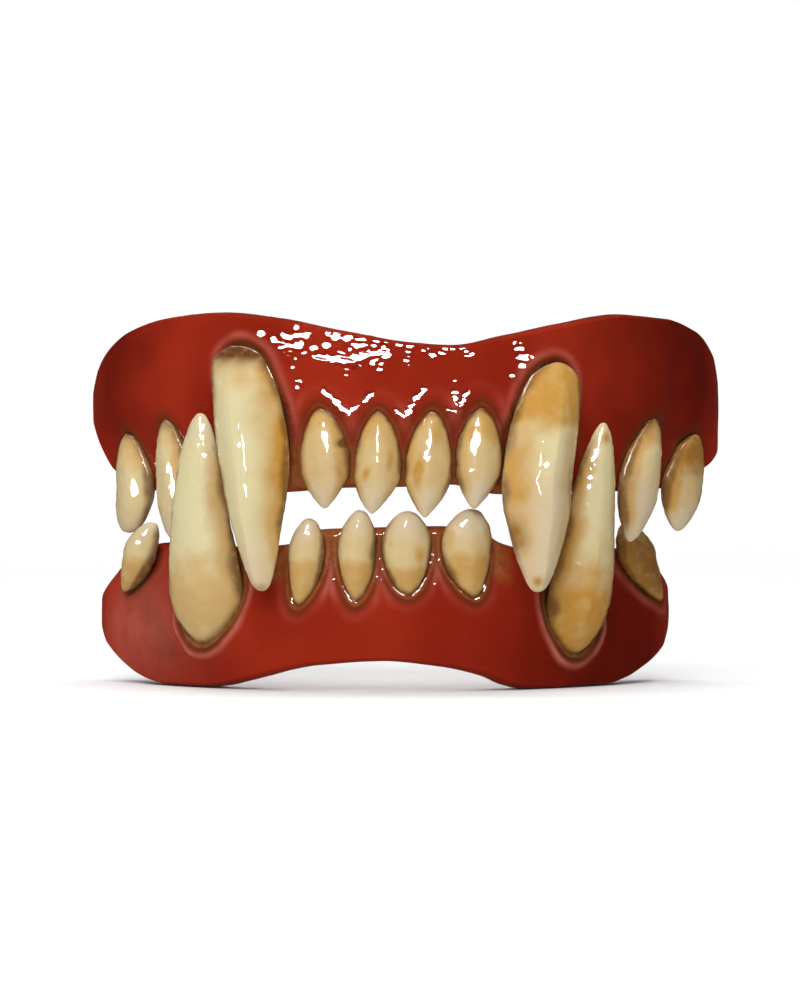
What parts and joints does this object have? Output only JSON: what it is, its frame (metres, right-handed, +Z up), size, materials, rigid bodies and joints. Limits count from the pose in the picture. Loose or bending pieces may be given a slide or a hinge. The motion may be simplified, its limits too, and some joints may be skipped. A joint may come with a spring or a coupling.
{
  "type": "werewolf fang veneer with upper and lower rows",
  "caption": "False werewolf teeth for a wearer's mouth: curved red gum veneers, upper and lower, set with long ivory fangs and small pointed teeth, shown in closed bite.",
  "frame": {"origin": "middle of the outline in plan, on the surface that the lower gum's rim stands on", "axes": "+X to the viewer's right across the smile, +Y to the back of the mouth, +Z up"},
  "size_m": [0.0632, 0.0278, 0.0361],
  "materials": {
    "gum": "wet-looking gloss varnish over brick-red acrylic",
    "tooth": "glossy ivory acrylic with orange-brown stain"
  },
  "bodies": {
    "lower": {"lower_gum": "gum", "lower_premolar_left": "tooth", "lower_fang_left": "tooth", "lower_incisor_1": "tooth", "lower_incisor_2": "tooth", "lower_incisor_3": "tooth", "lower_incisor_4": "tooth", "lower_fang_right": "tooth", "lower_premolar_right": "tooth"},
    "upper": {"upper_gum": "gum", "upper_premolar_left_2": "tooth", "upper_premolar_left_1": "tooth", "upper_fang_left": "tooth", "upper_incisor_1": "tooth", "upper_incisor_2": "tooth", "upper_incisor_3": "tooth", "upper_incisor_4": "tooth", "upper_fang_right": "tooth", "upper_premolar_right_1": "tooth", "upper_premolar_right_2": "tooth"}
  },
  "joints": [
    {"name": "bite_lift", "type": "slide", "parent": "lower", "child": "upper", "axis": [0, 0, 1], "range_m": [0, 0.02]}
  ]
}
